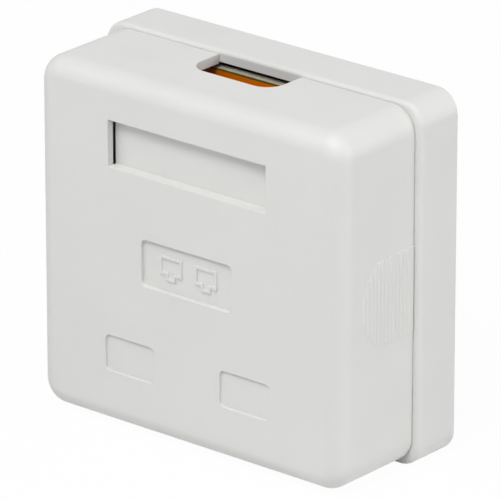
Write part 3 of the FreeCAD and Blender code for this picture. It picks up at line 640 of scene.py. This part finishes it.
def add_sign(sizes, x):
    """A raised outline of a socket, on the panel's floor."""
    floor = cover_low.y + sizes.panel_depth
    top = (sizes.sign_height + sizes.sign_tab_height) / 2 - sizes.panel_lower
    shoulder = top - sizes.sign_height
    foot = shoulder - sizes.sign_tab_height
    half, tab, line = sizes.sign_width / 2, sizes.sign_tab_width / 2, sizes.sign_stroke
    front, back = floor - sizes.sign_relief, floor + sizes.sign_relief
    sign = add_block("sign", (x - half, front, shoulder), (x + half, back, top))
    weld(sign, add_block("tab", (x - tab, front, foot), (x + tab, back, shoulder + line)))
    inside = add_block("inside", (x - half + line, front - line, shoulder + line),
                       (x + half - line, back + line, top - line))
    weld(inside, add_block("tab", (x - tab + line, front - line, foot + line),
                           (x + tab - line, back + line, shoulder + 2 * line)))
    cut(sign, inside)
    return sign


def cut_entry_and_ports(shell, sizes):
    """The cable entry on top, the cut-outs round the jacks and the grooves for the snap beads."""
    back, top, bottom, wall = cover_high.y, cover_high.z, cover_low.z, sizes.wall
    half = sizes.entry_width / 2
    entry = add_block("entry", (-half, back - sizes.entry_depth, top - wall - sizes.inner_edge / 2),
                      (half, back + wall, top + wall))
    front = back - sizes.entry_depth
    upright = along(2)
    bevel_edges(entry, sizes.entry_corner, ROUND_STEPS,
                lambda one, two: upright(one, two) and abs(one.y - front) < TOUCH)
    cut(shell, entry)

    gap = sizes.port_clearance
    for side in SIDES.values():
        ends = sorted((side * (jack_low.x - gap), side * (jack_high.x + gap)))
        cut(shell, add_block("port", (ends[0], jack_low.y - gap, bottom - wall),
                             (ends[1], back + wall, bottom + wall + sizes.inner_edge / 2)))
    cut_snap_grooves(shell, sizes)


def cut_snap_grooves(shell, sizes):
    """A vee groove inside each side wall."""
    inner = cover_high.x - sizes.rib_height - sizes.wall
    bead = base_low.y + bpy.context.scene.socket_base.bead_from_tip
    for side in SIDES.values():
        cut(shell, add_ridge("groove", side * inner, bead, sizes.snap_depth, sizes.snap_length / 2))


def add_grips(shell, sizes, half):
    """Rows of ribs on a low pad on both sides; the pad is straight behind and bowed in front."""
    tall, nose = sizes.grip_height / 2, sizes.grip_nose
    bow = (nose ** 2 + tall ** 2) / (2 * nose)
    centre = sizes.grip_reach - bow
    count = math.ceil((sizes.grip_reach - sizes.rib_width) / sizes.rib_pitch)
    ribs = []
    for side in SIDES.values():
        weld(shell, add_pad(sizes, side, half, bow))
        crest = side * (half + sizes.rib_height)
        ends = sorted((side * (half - sizes.rib_height), crest))
        for index in range(count):
            near = sizes.softness + index * sizes.rib_pitch
            far = near + sizes.rib_width
            reach = tall if far < sizes.grip_reach - nose else math.sqrt(bow ** 2 - (far - centre) ** 2)
            front, back = cover_high.y - far, cover_high.y - near
            rib = add_block("rib", (ends[0], front, -reach), (ends[1], back, reach))
            bevel_edges(rib, sizes.rib_height * RIB_SLOPE, 1, in_plane(0, crest))
            ribs.append(rib)
    weld(shell, join(ribs))


def add_pad(sizes, side, half, bow):
    """The low pad of one grip."""
    face = side * (half + sizes.pad_height)
    ends = sorted((side * (half - sizes.rib_height), face))
    tall, turn = sizes.grip_height / 2, cover_high.y - sizes.grip_reach + sizes.grip_nose
    back, front = cover_high.y - sizes.softness, cover_high.y - sizes.grip_reach
    pad = add_block("pad", (ends[0], turn, -tall), (ends[1], back, tall))
    middle = (sum(ends) / 2, front + bow, 0)
    nose = add_round("nose", BOW_SIDES, bow, ends[1] - ends[0], middle, (0, math.pi / 2, 0))
    room = add_block("room", (ends[0] - bow, front - bow, -tall), (ends[1] + bow, (turn + back) / 2, tall))
    combine(nose, room, "INTERSECT")
    weld(pad, nose)
    soften(pad, sizes.pad_height / 2)
    return pad


def model_base(sizes, cover):
    """The tray, with posts for the board, tabs for the cover and screw holes."""
    left, right, bottom, top = base_low.x, base_high.x, base_low.z, base_high.z
    rim, wall = -sizes.depth, sizes.wall
    tray = add_block("base_tray", (left, rim, bottom), (right, 0, top))
    bevel_edges(tray, sizes.corner, ROUND_STEPS, along(1))
    bevel_edges(tray, sizes.edge, SMALL_STEPS, in_plane(1, rim))
    hollow = add_block("hollow", (left + wall, rim - wall, bottom + wall),
                       (right - wall, -sizes.floor, top - wall))
    bevel_edges(hollow, sizes.corner - wall, SMALL_STEPS, along(1))
    cut(tray, hollow)

    add_posts(tray, sizes)
    add_tabs(tray, sizes, cover)
    for side in SIDES.values():
        for up in (-1, 1):
            place = (side * (right - wall - sizes.wall_hole_inset), up * sizes.wall_hole_spread / 2)
            cut(tray, add_rod("wall_hole", place, sizes.wall_hole, wall, -2 * sizes.floor))
    soften(tray, sizes.softness)
    smooth(tray)
    return tray


def add_posts(tray, sizes):
    """A post with a screw hole under each screw, and a plain one that takes the push of a plug."""
    seat, root = board_high.y, -sizes.floor / 2
    places = screw_places(sizes.screw_head / 2)
    for place in places:
        weld(tray, add_rod("post", place, sizes.post, root, seat))
    weld(tray, add_rod("post", (0.0, jack_low.z + sizes.plug_post_rise), sizes.post, root, seat))
    for place in places:
        cut(tray, add_rod("pilot", place, sizes.pilot, screws_high.y + sizes.floor / 3, seat - sizes.floor))


def screw_places(head):
    """The screws' places across the board, from the box round their heads."""
    return [(x, z) for x in (screws_low.x + head, screws_high.x - head)
            for z in (screws_low.z + head, screws_high.z - head)]


def add_tabs(tray, sizes, cover):
    """Tabs on solid feet, with snap beads on the two side tabs."""
    inner_x = cover_high.x - cover.rib_height - cover.wall - sizes.tab_clearance
    inner_z = cover_high.z - cover.wall - sizes.tab_clearance
    root, step, tip = -sizes.floor / 2, sizes.edge - sizes.depth, base_low.y
    wall_x, wall_z = base_high.x - sizes.wall / 2, base_high.z - sizes.wall / 2
    for side in SIDES.values():
        half = sizes.snap_tab / 2
        for outer, end in ((wall_x, step), (inner_x, tip)):
            ends = sorted((side * (inner_x - sizes.tab), side * outer))
            weld(tray, add_block("tab", (ends[0], end, -half), (ends[1], root, half)))
        middle, half = side * (inner_x - sizes.top_tab_inset), sizes.top_tab / 2
        for outer, end in ((wall_z, step), (inner_z, tip)):
            weld(tray, add_block("tab", (middle - half, end, inner_z - sizes.tab),
                                 (middle + half, root, outer)))
    half = sizes.bottom_tab / 2
    for outer, end in ((wall_z, step), (inner_z, tip)):
        weld(tray, add_block("tab", (-half, end, -outer), (half, root, sizes.tab - inner_z)))

    place, half = tip + sizes.bead_from_tip, sizes.snap_tab / 2 - sizes.bead
    for side in SIDES.values():
        weld(tray, add_ridge("bead", side * inner_x, place, sizes.bead, half))


class SOCKETBOX_OT_cover(bpy.types.Operator):
    """Model the front cover and finish it in moulded plastic"""

    bl_idname = "socketbox.cover"
    bl_label = "Front cover"

    def execute(self, context):
        shell = model_cover(context.scene.socket_cover)
        tint = context.scene.socket_finish.shell
        plastic = moulded_plastic("cover_plastic_finish", tint, rough=0.5, grain=0.000012)
        dress(shell, plastic, "cover_plastic", "cover", "front_cover")
        return {"FINISHED"}


class SOCKETBOX_OT_base(bpy.types.Operator):
    """Model the base tray and finish it in moulded plastic"""

    bl_idname = "socketbox.base"
    bl_label = "Base tray"

    def execute(self, context):
        tray = model_base(context.scene.socket_base, context.scene.socket_cover)
        tint = context.scene.socket_finish.shell
        plastic = moulded_plastic("base_plastic_finish", tint, rough=0.5, grain=0.000012)
        dress(tray, plastic, "base_plastic", "base", "base")
        return {"FINISHED"}


class SOCKETBOX_OT_label(bpy.types.Operator):
    """Model the label strip behind the window"""

    bl_idname = "socketbox.label"
    bl_label = "Label strip"

    def execute(self, context):
        sizes = context.scene.socket_cover
        strip = add_block("label_strip", plate_low, plate_high)
        bevel_edges(strip, sizes.recess_corner, SMALL_STEPS, along(1))
        soften(strip, sizes.softness)
        smooth(strip)
        tint = context.scene.socket_finish.label
        plastic = moulded_plastic("label_plastic_finish", tint, rough=0.42, grain=0.000006)
        dress(strip, plastic, "label_plastic", "cover", "label_plate")
        return {"FINISHED"}


class SOCKETBOX_OT_board(bpy.types.Operator):
    """Finish the circuit board and its screws"""

    bl_idname = "socketbox.board"
    bl_label = "Circuit board"

    def execute(self, context):
        colours = context.scene.socket_finish
        finish_node("circuit_board", board_laminate("board_finish", colours))
        zinc = plated_metal("screw_finish", colours.zinc, rough=0.3, grain=0.000006)
        finish_node("board_screws", zinc)
        return {"FINISHED"}


class SOCKETBOX_OT_jacks(bpy.types.Operator):
    """Soften the jacks' edges and finish them and their contacts"""

    bl_idname = "socketbox.jacks"
    bl_label = "Jacks"

    def execute(self, context):
        colours = context.scene.socket_finish
        plastic = moulded_plastic("jack_plastic_finish", colours.jack, rough=0.36, grain=0.00001)
        lighter = tinted(colours.jack, share=1.4)
        carrier = moulded_plastic("insert_plastic_finish", lighter, rough=0.42, grain=0.00001)
        gold = plated_metal("contact_finish", colours.gold, rough=0.22, grain=0.000003)
        for side in SIDES:
            shell = soft_copy(f"jack_shell_{side}", f"jack_housing_{side}")
            dress(shell, plastic, "jack_plastic", "base", f"jack_housing_{side}")
            finish_node(f"jack_insert_{side}", carrier)
            for number in range(1, CONTACTS + 1):
                finish_node(f"jack_contact_{side}_{number}", gold)
        return {"FINISHED"}


class SOCKETBOX_OT_blocks(bpy.types.Operator):
    """Soften the punch-down blocks' edges and finish them and their blades"""

    bl_idname = "socketbox.blocks"
    bl_label = "Punch-down blocks"

    def execute(self, context):
        colours = context.scene.socket_finish
        plastic = moulded_plastic("block_plastic_finish", colours.block, rough=0.44, grain=0.00001)
        tin = plated_metal("blade_finish", colours.tin, rough=0.3, grain=0.000004)
        for row in ROWS:
            block = soft_copy(f"punch_block_{row}", f"idc_block_{row}")
            dress(block, plastic, "block_plastic", "base", f"idc_block_{row}")
            for number in range(1, CONTACTS + 1):
                finish_node(f"idc_contact_{row}_{number}", tin)
        return {"FINISHED"}


def add_camera(stage):
    """A long lens at the photograph's viewing angle."""
    data = bpy.data.cameras.new("camera")
    camera = bpy.data.objects.new("camera", data)
    bpy.context.scene.collection.objects.link(camera)
    level = math.cos(stage.elevation)
    right, front = math.sin(stage.azimuth) * level, math.cos(stage.azimuth) * level
    back = Vector((right, -front, math.sin(stage.elevation)))
    camera.location = Vector(stage.aim) + back * stage.distance
    camera.rotation_euler = back.to_track_quat("Z", "Y").to_euler()
    data.lens = stage.lens
    data.sensor_width = SENSOR_WIDTH
    data.clip_start = NEAREST
    data.clip_end = FARTHEST
    bpy.context.scene.camera = camera


def seen_rays(tree):
    """One for the rays of the camera, of gloss and of glass, and nought for the light's own."""
    path = tree.nodes.new("ShaderNodeLightPath")
    seen = path.outputs["Is Camera Ray"]
    for name in ("Is Glossy Ray", "Is Transmission Ray"):
        larger = tree.nodes.new("ShaderNodeMath")
        larger.operation = "MAXIMUM"
        tree.links.new(seen, larger.inputs[0])
        tree.links.new(path.outputs[name], larger.inputs[1])
        seen = larger.outputs["Value"]
    return seen


def add_floor():
    """A pale floor under the box, which shows white and keeps its shadow."""
    bpy.ops.object.select_all(action="DESELECT")
    bpy.ops.mesh.primitive_plane_add(size=FLOOR_SIDE, location=(0, 0, base_low.z))
    floor = bpy.context.object
    floor.name = "floor"
    finish = Finish("floor_finish")
    finish.surface(Base_Color=FLOOR_GREY, Roughness=FLOOR_ROUGHNESS)
    glow = finish.node("ShaderNodeEmission")
    lift = finish.node("ShaderNodeMixShader")
    white = finish.span(seen_rays(finish.tree), source=(0.0, 1.0), target=(0.0, FLOOR_WHITE))
    finish.feed(lift.inputs["Fac"], white)
    finish.feed(lift.inputs[1], finish.shader.outputs["BSDF"])
    finish.feed(lift.inputs[2], glow.outputs["Emission"])
    finish.feed(finish.tree.nodes["Material Output"].inputs["Surface"], lift.outputs["Shader"])
    floor.data.materials.append(finish.material)


def add_sky(stage):
    """Even light from all sides; the camera, gloss and glass see plain white."""
    world = bpy.data.worlds.new("sky")
    bpy.context.scene.world = world
    world.use_nodes = True
    tree = world.node_tree
    sky = tree.nodes["Background"]
    sky.inputs["Color"].default_value = WHITE
    level = tree.nodes.new("ShaderNodeMapRange")
    level.inputs["To Min"].default_value = stage.sky
    level.inputs["To Max"].default_value = 1.0
    tree.links.new(seen_rays(tree), level.inputs["Value"])
    tree.links.new(level.outputs["Result"], sky.inputs["Strength"])


def add_lamp(name, place, size, energy):
    """A square soft lamp that faces the box."""
    data = bpy.data.lights.new(name, "AREA")
    data.size = size
    data.energy = energy
    lamp = bpy.data.objects.new(name, data)
    bpy.context.scene.collection.objects.link(lamp)
    lamp.location = place
    lamp.rotation_euler = Vector(place).to_track_quat("Z", "Y").to_euler()


class SOCKETBOX_OT_stage(bpy.types.Operator):
    """Add the floor, the light and the camera"""

    bl_idname = "socketbox.stage"
    bl_label = "Stage"

    def execute(self, context):
        stage = context.scene.socket_stage
        context.scene.view_settings.view_transform = "Standard"
        add_floor()
        add_sky(stage)
        for name, (place, size) in LAMPS.items():
            add_lamp(name, place, size, getattr(stage, name))
        add_camera(stage)
        return {"FINISHED"}


OPERATORS = (
    SOCKETBOX_OT_cover,
    SOCKETBOX_OT_base,
    SOCKETBOX_OT_label,
    SOCKETBOX_OT_board,
    SOCKETBOX_OT_jacks,
    SOCKETBOX_OT_blocks,
    SOCKETBOX_OT_stage,
)
GROUPS = {
    "socket_cover": SocketBoxCover,
    "socket_base": SocketBoxBase,
    "socket_finish": SocketBoxFinish,
    "socket_stage": SocketBoxStage,
}


class SOCKETBOX_PT_panel(bpy.types.Panel):
    """The steps and their settings in the sidebar"""

    bl_idname = "SOCKETBOX_PT_panel"
    bl_label = "Socket Box"
    bl_space_type = "VIEW_3D"
    bl_region_type = "UI"
    bl_category = "Socket Box"

    def draw(self, context):
        """List the steps, and under them the settings of each group."""
        for operator in OPERATORS:
            self.layout.operator(operator.bl_idname)
        for name, group in GROUPS.items():
            box = self.layout.box()
            box.label(text=group.__doc__)
            for setting in group.__annotations__:
                box.prop(getattr(context.scene, name), setting)


CLASSES = (*GROUPS.values(), *OPERATORS, SOCKETBOX_PT_panel)


def register():
    """Make the settings, the steps and the panel known to Blender."""
    for item in CLASSES:
        bpy.utils.register_class(item)
    for name, group in GROUPS.items():
        setattr(bpy.types.Scene, name, PointerProperty(type=group))


def unregister():
    """Take the settings, the steps and the panel away again."""
    for name in GROUPS:
        delattr(bpy.types.Scene, name)
    for item in reversed(CLASSES):
        bpy.utils.unregister_class(item)


def main():
    """Run all steps in order."""
    register()
    for operator in OPERATORS:
        family, name = operator.bl_idname.split(".")
        getattr(getattr(bpy.ops, family), name)()


if __name__ == "__main__":
    main()
